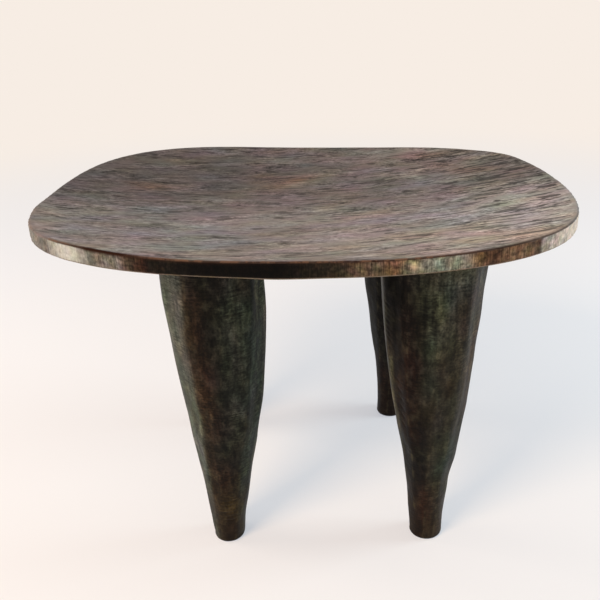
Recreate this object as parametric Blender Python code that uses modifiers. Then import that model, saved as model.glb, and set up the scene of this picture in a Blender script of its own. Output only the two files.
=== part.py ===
"""Carved four-legged stool: a dished hardwood seat on four stout, tapered legs.

Each leg stands in the seat on a round tenon in a blind socket, spread by a wedge hidden in the tenon.
Units are metres, +Z is up and +X runs along the seat's grain. The origin is on the floor under the seat.
"""

import math

import bmesh
import bpy
from mathutils import Vector

# Seat slab
SEAT_LENGTH = 0.580
SEAT_WIDTH = 0.450
SEAT_MID_HEIGHT = 0.359  # floor to the lowest point of the dished top
END_RISE = 0.0216  # how far the two ends rise above the middle of the dish
SIDE_RISE = 0.0208  # how far the front and back edges rise above it
SEAT_MID_THICKNESS = 0.0225
RIM_THICKNESS = 0.0156
RIM_ROUNDING = 0.0022
SHARP_EDGE = math.radians(38)  # a steeper edge is rounded on the seat, and stays crisp in the shading

# Seat outline: a superellipse with the slow waves of a freehand cut
END_SQUARENESS = 3.12
SIDE_SQUARENESS = 2.28
OUTLINE_WAVES = ((2, 0.0, -0.048), (3, -0.006, -0.006), (4, 0.0, 0.035))  # waves a turn, cosine, sine
OUTLINE_STEPS = 80
DISH_RINGS = (0.12, 0.3, 0.47, 0.63, 0.78, 0.9)  # shares of the way from the middle to the rim

# Leg positions at the floor
LEG_INSET_X = 0.174  # from the seat's ends to the middles of the feet
LEG_INSET_Y = 0.095  # from its front and back edges to the middles of the feet
LEG_GROUP_SHIFT = 0.0125  # the legs stand this far towards +X of the seat's middle

# Leg form, from the sole up, with the diameters over the ridges between the flats
SOLE_DIAMETER = 0.031
FOOT_DIAMETER = 0.037
FOOT_HEIGHT = 0.005
ANKLE_DIAMETER = 0.039
ANKLE_HEIGHT = 0.034
SHIN_DIAMETER = 0.0535
SHIN_HEIGHT = 0.092
CALF_DIAMETER = 0.076
CALF_HEIGHT = 0.158
KNEE_DIAMETER = 0.0975
KNEE_HEIGHT = 0.242
SHOULDER_DIAMETER = 0.1095
LEG_RINGS = 15
LEG_SIDES = 30
FACET_COUNT = 10  # flats that the adze leaves round a leg
FACET_STRENGTH = 0.55  # 0 is round, 1 is flat from ridge to ridge
FACET_TWIST_DEGREES = 20  # how far the flats turn from the sole to the shoulder

# Tenon, socket and wedge
TENON_DIAMETER = 0.056
TENON_CHAMFER = 0.0012
SOCKET_ROOF = 0.0075  # wood left between a socket and the top of the seat
SOCKET_STEPS = 48
WEDGE_SIDE_GAP = 0.006  # from each edge of the wedge to the side of the tenon
WEDGE_HEIGHT = 0.0088
WEDGE_THICK_END = 0.0046
WEDGE_THIN_END = 0.0016
FIT_GAP = 0.0003  # between pieces that touch
CUT_PAST = 0.004  # how far a cutter runs past the face that it opens

HALF_LENGTH = SEAT_LENGTH / 2
HALF_WIDTH = SEAT_WIDTH / 2
WEDGE_WIDTH = TENON_DIAMETER - 2 * WEDGE_SIDE_GAP

# What is different about each hand-carved leg: which corner it stands at, how far its foot strays from the
# corner, how far its top leans over, how far its middle bows towards +X, and the turn of its flats
LEGS = {
    "leg_front_left": {
        "corner": (-1, -1), "stray": (0.000, 0.021),
        "lean": (0.005, -0.004), "bow": 0.0035, "turn_degrees": 6,
    },
    "leg_front_right": {
        "corner": (1, -1), "stray": (-0.002, 0.001),
        "lean": (-0.004, 0.004), "bow": 0.0012, "turn_degrees": 52,
    },
    "leg_rear_left": {
        "corner": (-1, 1), "stray": (0.000, 0.002),
        "lean": (-0.003, -0.003), "bow": 0.0015, "turn_degrees": 97,
    },
    "leg_rear_right": {
        "corner": (1, 1), "stray": (0.001, 0.003),
        "lean": (0.009, -0.004), "bow": 0.0025, "turn_degrees": 149,
    },
}


def clear_scene():
    for old in list(bpy.data.objects):
        bpy.data.objects.remove(old)


def add_collection(name):
    collection = bpy.data.collections.new(name)
    bpy.context.scene.collection.children.link(collection)
    return collection


def wood(name, colour, roughness):
    """Wood as the part shows it: one plain colour and sheen."""
    material = bpy.data.materials.new(name)
    material.use_nodes = True
    shader = material.node_tree.nodes["Principled BSDF"]
    shader.inputs["Base Color"].default_value = (*colour, 1.0)
    shader.inputs["Roughness"].default_value = roughness
    shader.inputs["Metallic"].default_value = 0.0
    return material


def add_object(name, mesh_builder, collection, material=None, location=(0, 0, 0)):
    """A new object from a finished bmesh, in its collection and at its place."""
    mesh = bpy.data.meshes.new(name)
    bmesh.ops.recalc_face_normals(mesh_builder, faces=mesh_builder.faces)
    mesh_builder.to_mesh(mesh)
    mesh_builder.free()
    if material:
        mesh.materials.append(material)
    part = bpy.data.objects.new(name, mesh)
    part.location = location
    collection.objects.link(part)
    return part


def make_cutter(cutter):
    cutter.hide_render = True
    cutter.display_type = "WIRE"
    return cutter


def cut(part, cutter):
    boolean = part.modifiers.new(f"cut_{cutter.name}", "BOOLEAN")
    boolean.operation = "DIFFERENCE"
    boolean.object = cutter


def shade_soft(part):
    part.data.shade_smooth()
    part.data.set_sharp_from_angle(angle=SHARP_EDGE)


def loft(rings):
    """A closed bmesh skinned over rings of equal length, with a face over the first and the last ring."""
    body = bmesh.new()
    loops = [[body.verts.new(point) for point in ring] for ring in rings]
    for lower, upper in zip(loops, loops[1:]):
        for i in range(len(lower)):
            j = (i + 1) % len(lower)
            body.faces.new((lower[i], lower[j], upper[j], upper[i]))
    body.faces.new(reversed(loops[0]))
    body.faces.new(loops[-1])
    return body


def outline_reach(angle):
    """Distance from the middle of the seat to its rim, on an outline about 2 long and 2 wide."""
    near, far = 0.5, 2.0
    for _ in range(40):
        middle = (near + far) / 2
        along = abs(middle * math.cos(angle)) ** END_SQUARENESS
        across = abs(middle * math.sin(angle)) ** SIDE_SQUARENESS
        if along + across > 1:
            far = middle
        else:
            near = middle
    wave = sum(c * math.cos(n * angle) + s * math.sin(n * angle) for n, c, s in OUTLINE_WAVES)
    return near * (1 + wave)


def unit_outline():
    """Points of the rim on that outline."""
    angles = [2 * math.pi * step / OUTLINE_STEPS for step in range(OUTLINE_STEPS)]
    return [(outline_reach(a) * math.cos(a), outline_reach(a) * math.sin(a)) for a in angles]


def middle_and_half(values):
    low, high = min(values), max(values)
    return (low + high) / 2, (high - low) / 2


UNIT_OUTLINE = unit_outline()
(MIDDLE_U, HALF_U), (MIDDLE_V, HALF_V) = [middle_and_half(values) for values in zip(*UNIT_OUTLINE)]


def seat_point(u, v):
    """A point of the unit outline's plane at the seat's real length and width."""
    return (u - MIDDLE_U) / HALF_U * HALF_LENGTH, (v - MIDDLE_V) / HALF_V * HALF_WIDTH


def rim_share(x, y):
    """How far out a point of the seat lies: 0 in the middle and 1 at the rim."""
    u = x / HALF_LENGTH * HALF_U + MIDDLE_U
    v = y / HALF_WIDTH * HALF_V + MIDDLE_V
    return math.hypot(u, v) / outline_reach(math.atan2(v, u))


def seat_top(x, y):
    """Height of the dished top: a shallow bowl whose rim is nearly level."""
    return SEAT_MID_HEIGHT + END_RISE * (x / HALF_LENGTH) ** 2 + SIDE_RISE * (y / HALF_WIDTH) ** 2


def seat_underside(x, y):
    """Height of the bellied underside: the slab thins from the middle to the rim."""
    thinning = (SEAT_MID_THICKNESS - RIM_THICKNESS) * rim_share(x, y) ** 2
    return seat_top(x, y) - SEAT_MID_THICKNESS + thinning


def make_seat(collection, material):
    def ring(share, height):
        points = [seat_point(u * share, v * share) for u, v in UNIT_OUTLINE]
        return [(x, y, height(x, y)) for x, y in points]

    top = [ring(share, seat_top) for share in (*DISH_RINGS, 1.0)]
    underside = [ring(share, seat_underside) for share in (1.0, *reversed(DISH_RINGS))]
    seat = add_object("seat", loft(top + underside), collection, material)
    rounding = seat.modifiers.new("worn_rim", "BEVEL")
    rounding.width = RIM_ROUNDING
    rounding.segments = 2
    rounding.limit_method = "ANGLE"
    rounding.angle_limit = SHARP_EDGE
    shade_soft(seat)
    return seat


def profile_radius(height, shoulder_height):
    """Leg radius at a height: a smooth curve through the named diameters."""
    named = (
        (FOOT_HEIGHT, FOOT_DIAMETER),
        (ANKLE_HEIGHT, ANKLE_DIAMETER),
        (SHIN_HEIGHT, SHIN_DIAMETER),
        (CALF_HEIGHT, CALF_DIAMETER),
        (KNEE_HEIGHT, KNEE_DIAMETER),
    )
    stations = sorted(station for station in named if station[0] < shoulder_height)
    stations.append((shoulder_height, SHOULDER_DIAMETER))
    slopes = []
    for i in range(len(stations)):
        before, after = stations[max(i - 1, 0)], stations[min(i + 1, len(stations) - 1)]
        slopes.append((after[1] - before[1]) / (after[0] - before[0]))
    for (low, high), (slope_low, slope_high) in zip(zip(stations, stations[1:]), zip(slopes, slopes[1:])):
        if height <= high[0]:
            break
    span = high[0] - low[0]
    t = min(max((height - low[0]) / span, 0.0), 1.0)
    diameter = (
        (1 + 2 * t) * (1 - t) ** 2 * low[1]
        + t * (1 - t) ** 2 * span * slope_low
        + t**2 * (3 - 2 * t) * high[1]
        + t**2 * (t - 1) * span * slope_high
    )
    return diameter / 2


def facet_factor(angle, turn_degrees):
    """How much an adzed section draws in from its ridges at this angle."""
    step = 2 * math.pi / FACET_COUNT
    off_ridge = (angle + math.radians(turn_degrees)) % step - step / 2
    flat = math.cos(step / 2) / math.cos(off_ridge)
    return 1 - FACET_STRENGTH * (1 - flat)


def foot_place(leg):
    """The middle of a leg's sole on the floor."""
    (side_x, side_y), (stray_x, stray_y) = leg["corner"], leg["stray"]
    x = side_x * (HALF_LENGTH - LEG_INSET_X) + LEG_GROUP_SHIFT + stray_x
    y = side_y * (HALF_WIDTH - LEG_INSET_Y) + stray_y
    return Vector((x, y, 0))


def axis_shift(leg, share):
    """How far a leg's axis lies from the plumb line over its foot, at a share of the leg's height."""
    lean_x, lean_y = leg["lean"]
    bow = leg["bow"] * 4 * share * (1 - share)
    return Vector((lean_x * share + bow, lean_y * share, 0))


def socket_floor(leg):
    """The middle of the socket's blind end: straight over the leaning top of the leg."""
    place = foot_place(leg) + axis_shift(leg, 1.0)
    place.z = seat_top(place.x, place.y) - SOCKET_ROOF
    return place


def make_leg(name, leg, collection, material):
    """A leg and its tenon as one loft, in coordinates about the middle of the sole."""
    foot = foot_place(leg)
    floor = socket_floor(leg)
    shoulder_height = seat_underside(floor.x, floor.y) - FIT_GAP
    angles = [2 * math.pi * i / LEG_SIDES for i in range(LEG_SIDES)]

    def section(radius, height, turn_degrees=None, scribed=False):
        shift = axis_shift(leg, height / shoulder_height)
        points = []
        for angle in angles:
            reach = radius if turn_degrees is None else radius * facet_factor(angle, turn_degrees)
            point = shift + Vector((reach * math.cos(angle), reach * math.sin(angle), height))
            if scribed:
                point.z = seat_underside(foot.x + point.x, foot.y + point.y) - FIT_GAP
            points.append(point)
        return points

    turn = leg["turn_degrees"]
    rings = [section(SOLE_DIAMETER / 2, 0.0, turn)]
    for i in range(LEG_RINGS):
        share = i / LEG_RINGS
        height = FOOT_HEIGHT + (shoulder_height - FOOT_HEIGHT) * share
        radius = profile_radius(height, shoulder_height)
        rings.append(section(radius, height, turn + FACET_TWIST_DEGREES * share))
    shoulder, tenon = SHOULDER_DIAMETER / 2, TENON_DIAMETER / 2
    tenon_top = floor.z - FIT_GAP
    rings.append(section(shoulder, shoulder_height, turn + FACET_TWIST_DEGREES, scribed=True))
    rings.append(section((shoulder + tenon) / 2, shoulder_height, scribed=True))
    rings.append(section(tenon, shoulder_height, scribed=True))
    for radius, height in ((tenon, tenon_top - TENON_CHAMFER), (tenon - TENON_CHAMFER, tenon_top)):
        rings.append([Vector((*p.xy, height)) for p in section(radius, shoulder_height)])
    part = add_object(name, loft(rings), collection, material, foot)
    shade_soft(part)
    return part


def tapered_block(width, height, thick, thin, overrun=0.0):
    """A wedge along Y with its thick end up at z = overrun and its thin end at z = -height."""
    block = bmesh.new()
    bmesh.ops.create_cube(block, size=1.0)
    taper = (thick - thin) / height
    for corner in block.verts:
        up = corner.co.z > 0
        thickness = thick + taper * overrun if up else thin
        corner.co = Vector((corner.co.x * thickness, corner.co.y * width, overrun if up else -height))
    return block


def make_wedge(name, leg, collection, material):
    """The hidden wedge: its taper spreads the tenon along the seat's grain, so the seat doesn't split."""
    place = socket_floor(leg) - Vector((0, 0, FIT_GAP))
    block = tapered_block(WEDGE_WIDTH, WEDGE_HEIGHT, WEDGE_THICK_END, WEDGE_THIN_END)
    return add_object(name, block, collection, material, place)


def cut_socket(seat, name, leg, collection):
    """Bores the blind socket that a leg's tenon stands in."""
    bore = bmesh.new()
    radius = TENON_DIAMETER / 2 + FIT_GAP
    depth = SEAT_MID_THICKNESS + SHOULDER_DIAMETER / 2
    ends = {"radius1": radius, "radius2": radius}
    bmesh.ops.create_cone(bore, cap_ends=True, segments=SOCKET_STEPS, depth=depth, **ends)
    place = socket_floor(leg) - Vector((0, 0, depth / 2))
    cut(seat, make_cutter(add_object(f"socket_of_{name}", bore, collection, location=place)))


def cut_kerf(part, name, leg, collection):
    """Saws the slot in the tenon that the wedge spreads."""
    thick = WEDGE_THICK_END + 2 * FIT_GAP
    thin = WEDGE_THIN_END + 2 * FIT_GAP
    kerf = tapered_block(TENON_DIAMETER + CUT_PAST, WEDGE_HEIGHT + FIT_GAP, thick, thin, overrun=CUT_PAST)
    place = socket_floor(leg) - Vector((0, 0, FIT_GAP))
    cut(part, make_cutter(add_object(f"kerf_of_{name}", kerf, collection, location=place)))


def main():
    clear_scene()
    stool = add_collection("carved_stool")
    cutters = add_collection("cutters")
    seat_wood = wood("seat_wood", (0.060, 0.040, 0.029), 0.45)
    leg_wood = wood("leg_wood", (0.026, 0.020, 0.015), 0.42)
    wedge_wood = wood("wedge_wood", (0.16, 0.10, 0.055), 0.6)
    seat = make_seat(stool, seat_wood)
    for name, leg in LEGS.items():
        cut_socket(seat, name, leg, cutters)
        part = make_leg(name, leg, stool, leg_wood)
        cut_kerf(part, name, leg, cutters)
        make_wedge(name.replace("leg", "wedge", 1), leg, stool, wedge_wood)


main()
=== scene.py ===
"""Hand-carved hardwood stool: its looks, built around the solid model.

The seat and the four legs are made again with the marks that the adze leaves, each in the place of its solid,
and get the finish of old waxed hardwood. The hidden wedges keep their solids. Units are metres, +Z is up and
+X runs along the seat's grain. The origin is on the floor under the middle of the seat.
"""

import math

import bmesh
import bpy
import numpy as np
from bpy.props import FloatProperty, FloatVectorProperty, IntProperty, PointerProperty
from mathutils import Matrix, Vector


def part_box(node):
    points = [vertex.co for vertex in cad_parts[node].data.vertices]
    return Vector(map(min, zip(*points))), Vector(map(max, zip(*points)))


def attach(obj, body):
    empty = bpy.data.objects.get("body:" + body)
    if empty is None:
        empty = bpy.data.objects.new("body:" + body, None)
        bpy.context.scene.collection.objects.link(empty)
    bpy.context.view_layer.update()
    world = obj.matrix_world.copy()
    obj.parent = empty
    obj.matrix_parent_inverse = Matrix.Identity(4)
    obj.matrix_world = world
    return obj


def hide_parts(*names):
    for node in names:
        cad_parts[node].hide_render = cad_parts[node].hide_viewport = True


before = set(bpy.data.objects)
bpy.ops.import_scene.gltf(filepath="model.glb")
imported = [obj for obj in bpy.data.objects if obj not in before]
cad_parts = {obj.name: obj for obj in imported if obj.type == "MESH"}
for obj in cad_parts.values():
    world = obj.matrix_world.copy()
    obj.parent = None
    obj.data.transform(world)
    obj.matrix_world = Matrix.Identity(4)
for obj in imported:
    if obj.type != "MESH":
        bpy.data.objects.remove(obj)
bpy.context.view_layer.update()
SEAT_LOW, SEAT_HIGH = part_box("seat")

bl_info = {
    "name": "Carved Stool",
    "version": (1, 0, 0),
    "blender": (4, 5, 0),
    "location": "View3D > Sidebar > Stool",
    "description": "Carves a dished hardwood stool on four tapered legs",
    "category": "Add Mesh",
}

# Seat outline: a superellipse with the slow waves of a freehand cut (waves a turn, cosine, sine), left full
# in places (angle and half angle in degrees, share)
END_SQUARENESS = 3.12
SIDE_SQUARENESS = 2.28
OUTLINE_WAVES = ((2, 0.0, -0.048), (3, -0.006, -0.006), (4, 0.0, 0.035))
OUTLINE_STEPS = 80
OUTLINE_BUMPS = ((30, 9, 0.0155), (-10, 16, 0.0115), (-147, 12, 0.009), (80, 12, 0.010), (-178, 6, 0.005))

# Seat mesh: a grid on top, finer across the grain than along it, and coarser rings underneath
SEAT_COLUMNS = 216
SEAT_ROWS = 288
UNDER_SKIP = 3  # one point underneath for this many round the rim
FLAT_SHARE = 0.99  # the top and the underside end here, and the rounded arris takes the rest
ARRIS_STEPS = 5
SIDE_STEPS = 6
UNDER_SHARES = (0.975, 0.95, 0.91, 0.86, 0.8, 0.73, 0.65, 0.56, 0.46, 0.35, 0.23, 0.1)
SHARP_EDGE = math.radians(45)  # a steeper edge stays crisp in the shading

# Leg mesh
LEG_SIDES = 132
LEG_RINGS = 300
FOOT_RINGS = 7
FOOT_FLATNESS = 0.2  # share of the flats' strength that the foot keeps
FLATS_FADE = (0.03, 0.2)  # heights between which the flats grow to their full strength
SCRIBE_FROM = 0.8  # share of the leg's height where it starts to follow the seat's underside

# Joint of a leg and the seat
FIT_GAP = 0.0003  # between pieces that touch
CUT_PAST = 0.004  # how far a cutter runs past the face that it opens
SOCKET_ROOF = 0.0075  # wood left between a socket and the top of the seat
SOCKET_SIDES = 96
SHOULDER_STEP = 0.012  # from the tenon to the next ring of the shoulder
TENON_CHAMFER = 0.0012
WEDGE_HEIGHT = 0.0088
KERF_ENDS = (0.0052, 0.0022)  # width of the sawn kerf at its mouth and at its bottom

# Adze work: size of a worn fibre along X, Y and Z, the seeds of the marks, and between which distances the
# marks fade in from the sole and from the shoulder
SEAT_FIBRE = (0.03, 0.004, 0.004)
LEG_FIBRE = (0.03, 0.03, 0.003)
RIM_SEED = 4
SEAT_SEED = 3.0
LEG_SEED = 11.0
LEG_SEED_STEP = 5
SOLE_FADE = (0.001, 0.008)
SHOULDER_FADE = (0.002, 0.012)
UNDER_FADE = (0.002, 0.02)
EDGE_FADE = (0.95, 0.985)  # shares of the way out where the seat's marks fade
EDGE_SMOOTHING = 0.75  # how much of them is gone at the rim

# Each leg: its foot on the floor, how far its top leans over, how far its middle bows towards +X, and the
# turn of its flats in degrees
LEGS = {
    "leg_front_left": {"foot": (-0.1035, -0.109), "lean": (0.005, -0.004), "bow": 0.0035, "turn": 30},
    "leg_front_right": {"foot": (0.1265, -0.129), "lean": (-0.004, 0.004), "bow": 0.0012, "turn": 2},
    "leg_rear_left": {"foot": (-0.1035, 0.132), "lean": (-0.003, -0.003), "bow": 0.0015, "turn": 97},
    "leg_rear_right": {"foot": (0.1295, 0.133), "lean": (0.009, -0.004), "bow": 0.0025, "turn": 149},
}

# Broad stains of the top, some of them painted shade, sheen and reflection: middle, half length and half
# width in millimetres, and what they do to red, green and blue
TOP_STAINS_AND_SHEEN = (
    ((-120, 130), (190, 105), (0.52, 0.52, 0.54)),  # dark back left, painted shade where the top catches the least sheen
    ((70, 100), (150, 70), (1.22, 1.19, 1.20)),  # paler back
    ((250, -75), (110, 85), (1.42, 1.50, 1.58)),  # pale right end, painted reflection of the light from the right
    ((130, -175), (130, 60), (1.41, 1.39, 1.34)),  # paler front right edge, painted sheen
    ((190, 130), (90, 70), (1.20, 1.18, 1.16)),  # paler back right
    ((-130, -110), (110, 80), (0.90, 0.94, 0.97)),  # greyer front left
    ((-225, 0), (110, 90), (0.80, 0.84, 0.90)),  # grey left end
    ((-180, 90), (38, 18), (1.22, 0.92, 0.82)),  # red heartwood near the back left corner
    ((-160, 176), (32, 13), (1.14, 1.08, 0.90)),  # olive flecks behind it
    ((-10, 100), (40, 27), (1.20, 0.94, 0.85)),  # red patch behind the middle
    ((3, 104), (12, 8), (1.18, 1.08, 0.84)),  # ochre in the middle of it
    ((17, 154), (15, 9), (0.72, 0.92, 0.94)),  # blue-grey weathering
    ((6, -23), (50, 28), (1.08, 1.10, 1.05)),  # worn middle
    ((-87, -108), (48, 44), (0.98, 1.06, 1.09)),  # grey weathering at the front left
    ((167, 152), (26, 15), (1.18, 0.92, 0.84)),  # red patch at the back right
    ((258, 62), (38, 28), (0.80, 0.78, 0.77)),  # dark streaks at the right end
    ((190, -115), (70, 75), (1.22, 1.21, 1.20)),  # paler front of the right end, painted sheen
    ((108, 2), (50, 42), (0.82, 0.83, 0.88)),  # cool shade right of the middle
    ((-272, 60), (28, 45), (0.86, 0.86, 0.87)),  # dirt at the left end
    ((-70, 222), (210, 12), (0.74, 0.74, 0.76)),  # dirt along the back edge
    ((160, 180), (45, 20), (1.28, 1.26, 1.25)),  # rubbed back edge
    ((185, -195), (55, 32), (1.26, 1.21, 1.13)),  # paler front edge at the right, painted sheen
    ((95, -85), (62, 36), (0.93, 0.99, 1.07)),  # cool weathering right of the middle, towards the front
)

# The front half gets a painted sheen: it is painted paler, with weaker streaks, from this far behind the
# middle to this far in front of it
FRONT_SHEEN = 0.6
FRONT_SHEEN_FROM = 0.055
FRONT_SHEEN_TO = -0.05
BACK_STREAKS = 1.3  # strength of the streaks behind the middle
FRONT_STREAKS = 1.08  # and in front of it, weaker there as part of the painted sheen

# Pits and short checks of the top: middle, half length and half width, and depth, in millimetres
TOP_PITS = (
    ((-170, -10), (5, 1.3), 0.7), ((-139, -29), (3, 1.6), 0.9), ((-149, -19), (6, 1.2), 0.5),
    ((-179, 4), (4, 1.2), 0.6), ((-156, 6), (7, 1.4), 0.5), ((-169, 62), (10, 1.6), 0.5),
    ((20, 109), (1.6, 5), 0.6), ((75, 101), (2, 4), 0.6),
)
PIT_DARK = 0.7  # depth in millimetres at which a pit looks black

# The grain is torn open at the right end of the top: from and to this far along X, and how torn the rest is
TORN_RANGE = (0.08, 0.24)
TORN_LEAST = 0.75

# Tones that use and light gave the wood
TONES = {
    "jet": "#050302", "black": "#0c0907", "soot": "#17130f", "umber": "#26211a", "olive": "#343731",
    "bloom": "#2a2f2b", "grey": "#4a4942", "dove": "#474946", "wine": "#2a1710", "rust": "#6a523f",
    "brown": "#402e22", "ochre": "#352c15", "sage": "#7d7f73", "drab": "#54473b", "stone": "#787264",
    "pale": "#978d81", "end": "#ceb8a4", "ash": "#605b56", "chalk": "#a3a4a1", "slate": "#807f7d",
    "moss": "#625f5a", "taupe": "#6b6460", "clay": "#3a2f27",
}

# Where the tones lie round the rim, by the angle on the outline in degrees: the ends are pale end grain, and
# the front is black, partly the dirt of handling and partly painted shade
RIM_TONES_AND_SHADE = (
    (-180, "stone"), (-164, "stone"), (-156, "ash"), (-147, "ash"), (-141.5, "chalk"), (-138, "chalk"),
    (-136, "slate"), (-134, "moss"), (-131, "taupe"), (-129, "taupe"), (-126, "clay"), (-123.5, "wine"),
    (-122, "soot"), (-119.5, "soot"), (-116, "black"), (-112, "jet"), (-97, "jet"), (-92, "soot"),
    (-87, "umber"), (-83.5, "drab"), (-80, "drab"), (-77.5, "rust"), (-74.5, "stone"), (-71, "sage"),
    (-67.5, "sage"), (-65, "rust"), (-62.5, "brown"), (-59.5, "rust"), (-55, "rust"),
    (-53.5, "brown"), (-53, "pale"), (-44, "end"), (-10, "end"),
    (45, "drab"), (90, "umber"), (135, "umber"), (165, "drab"), (180, "stone"),
)

# The rim's paint starts between these shares of the way out. Its crest is worn to the red wood at some angles
# (angle and half angle in degrees), in a line at this depth and of this half width, and at most this much
RIM_BAND = (0.975, 0.99)
CREST_WEAR = ((-143, 3), (-106, 17), (-80, 12))
CREST_WEAR_DEPTH = 0.0005
CREST_WEAR_HALF = 0.0009
CREST_WEAR_MOST = 0.75

# The dark line under the crest: its depth, and the angle in degrees, how dark it is and its half width
CREST_LINE_DEPTH = 0.001
CREST_LINE = (
    (-180, 0.15, 0.0009), (-150, 0.15, 0.0009), (-143, 0.8, 0.0009), (-137, 0.9, 0.0011), (-135, 1.0, 0.0019),
    (-128, 1.0, 0.0019), (-124, 0.9, 0.0011), (-58, 0.9, 0.001), (-45, 0.7, 0.0008), (-27, 0.3, 0.0008),
    (-15, 0.05, 0.0008), (180, 0.15, 0.0009),
)

# The painted highlight on the lower arris, where the light catches the rounded edge: how far up it lies, and
# its half width
LOW_HIGHLIGHT_RISE = 0.0005
LOW_HIGHLIGHT_HALF = 0.0006

# Where the rim stands higher, and where it is thicker: angle and half angle in degrees, and how much
RIM_HIGH = ((-139, 17, 0.0025), (-95, 16, 0.0013))
RIM_FULL = ((-42, 26, 0.0018), (-98, 6, 0.001), *RIM_HIGH)

# Where the rim is worn smooth: angle and half angle in degrees, and how much of its streaks is gone
RIM_CALM = ((-140, 9, 0.65), (-165, 14, 0.45), (-32, 20, 0.75))

# Where the tones lie round each leg, by the angle in degrees: -90 is the front, 0 the right and 90 the back.
# On the front legs the grey flats on the left are partly a painted highlight, and the black towards the front
# is partly painted shade
LEG_TONES_AND_LIGHT = {
    "leg_front_left": (
        (-180, "dove"), (-136, "dove"), (-122, "umber"), (-108, "soot"), (-94, "black"), (-80, "soot"),
        (-66, "soot"), (-46, "bloom"), (-30, "bloom"), (-14, "grey"), (30, "umber"), (90, "soot"),
        (140, "umber"), (180, "dove"),
    ),
    "leg_front_right": (
        (-180, "grey"), (-172, "soot"), (-162, "jet"), (-118, "jet"), (-100, "umber"), (-62, "umber"),
        (-46, "clay"), (-20, "clay"), (20, "umber"), (90, "soot"), (150, "umber"), (180, "grey"),
    ),
    "leg_rear_left": (
        (-180, "umber"), (-120, "soot"), (-80, "umber"), (-30, "black"), (30, "umber"), (80, "soot"),
        (130, "grey"), (180, "umber"),
    ),
    "leg_rear_right": (
        (-180, "soot"), (-155, "black"), (-130, "black"), (-90, "soot"), (-40, "umber"), (20, "grey"),
        (80, "umber"), (130, "umber"), (180, "soot"),
    ),
}

FLAT_TONE = 0.8  # how far a flat keeps one tone from ridge to ridge
RIDGE_WEAR = 0.0035  # half width of the wear on a ridge between two flats
SHOULDER_LEVEL = 0.345  # height of the legs' shoulders, near enough for their paint
FOOT_RED = 0.11  # the feet are redder up to this height

# Patches on the legs: angle in degrees and height of the middle, half angle and half height, tone and
# strength, with heights in millimetres
LEG_PATCHES = {
    "leg_front_left": (
        ((-62, 295), (22, 55), "bloom", 0.8),  # grey-green bloom
        ((-94, 270), (15, 80), "jet", 0.75),
        ((-98, 205), (9, 35), "jet", 0.65),
        ((-68, 195), (24, 65), "bloom", 0.6),
        ((-122, 210), (9, 40), "brown", 0.5),
        ((-10, 220), (9, 50), "grey", 0.7),
        ((-66, 338), (9, 14), "grey", 0.4),
        ((-48, 335), (8, 22), "soot", 0.6),
        ((-30, 315), (8, 30), "grey", 0.6),
        ((-114, 255), (14, 55), "wine", 0.4),
        ((-112, 298), (8, 28), "brown", 0.3),
        ((-137, 245), (12, 28), "wine", 0.3),
        ((-146, 195), (14, 32), "umber", 0.6),
        ((-112, 185), (16, 45), "wine", 0.4),
        ((-165, 40), (45, 50), "soot", 0.7),
        ((-15, 55), (32, 55), "soot", 0.7),
        ((-110, 85), (40, 28), "wine", 0.6),  # red wood over the foot
        ((-2, 290), (7, 60), "drab", 0.9),
        ((-76, 50), (44, 24), "ochre", 0.8),  # yellower wood over the toe
        ((-58, 166), (7, 4), "jet", 0.9),  # small knot
        ((-58, 332), (14, 1.1), "jet", 0.8),  # fine cracks across the grain
        ((-68, 306), (15, 1.1), "jet", 0.7),
        ((-150, 329), (16, 0.9), "soot", 0.6),
    ),
    "leg_front_right": (
        ((-92, 300), (24, 42), "olive", 0.7),
        ((-176, 290), (5, 55), "grey", 0.85),  # rubbed ridge
        ((-166, 185), (5, 50), "stone", 0.6),
        ((-74, 336), (34, 18), "grey", 0.8),  # rubbed under the seat
        ((-120, 290), (8, 35), "jet", 0.5),
        ((-165, 65), (40, 75), "black", 0.85),
        ((-62, 12), (26, 14), "brown", 0.5),
        ((-135, 190), (26, 60), "wine", 0.4),
        ((-132, 280), (14, 50), "wine", 0.2),
        ((-68, 285), (9, 45), "wine", 0.35),
        ((-58, 115), (34, 60), "bloom", 0.85),
        ((-104, 225), (10, 30), "bloom", 0.6),
        ((-110, 48), (34, 30), "wine", 0.6),
        ((-113, 297), (4, 18), "jet", 0.6),  # shade of a slanting gouge
        ((-86, 333), (9, 1.1), "jet", 0.7),  # fine cracks
        ((-84, 327), (8, 1.0), "jet", 0.6),
        ((-84, 152), (5, 3), "jet", 0.9),  # two pits
        ((-78, 158), (4, 3), "jet", 0.9),
    ),
    "leg_rear_left": (((60, 260), (40, 60), "olive", 0.6), ((150, 60), (60, 40), "wine", 0.6)),
    "leg_rear_right": (((60, 280), (40, 50), "bloom", 0.6), ((-160, 50), (70, 40), "wine", 0.6)),
}

# Where a leg is fuller or slimmer than its taper: angle and half width in degrees, height and half height in
# millimetres, and how much in millimetres
LEG_SWELLS = {
    "leg_front_left": (
        ((180, 400), (62, 46), 2.2), ((180, 60), (122, 34), 1.8), ((180, 60), (305, 40), 2.4),
        ((0, 60), (182, 34), 2.0), ((0, 60), (335, 18), -1.4), ((180, 60), (4, 11), -2.0),
        ((0, 60), (126, 26), 1.3),
    ),
    "leg_front_right": (
        ((-20, 50), (338, 20), 2.0), ((-20, 50), (240, 30), -1.4), ((-10, 50), (230, 75), -1.1),
        ((-20, 40), (112, 12), 0.9), ((-20, 40), (82, 12), -1.0), ((180, 60), (30, 24), 1.5),
        ((180, 60), (118, 22), -1.3),
    ),
    "leg_rear_left": (((60, 70), (150, 40), 0.9),),
    "leg_rear_right": (((160, 60), (240, 40), 0.9),),
}

# Where a leg is rubbed smooth: angle in degrees and height of the middle, half angle and half height, and how
# much of its mottling is gone, with heights in millimetres
LEG_CALM = {
    "leg_front_left": ((-160, 270), (34, 120), 0.55),
    "leg_front_right": ((-85, 150), (75, 110), 0.35),
}

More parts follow.
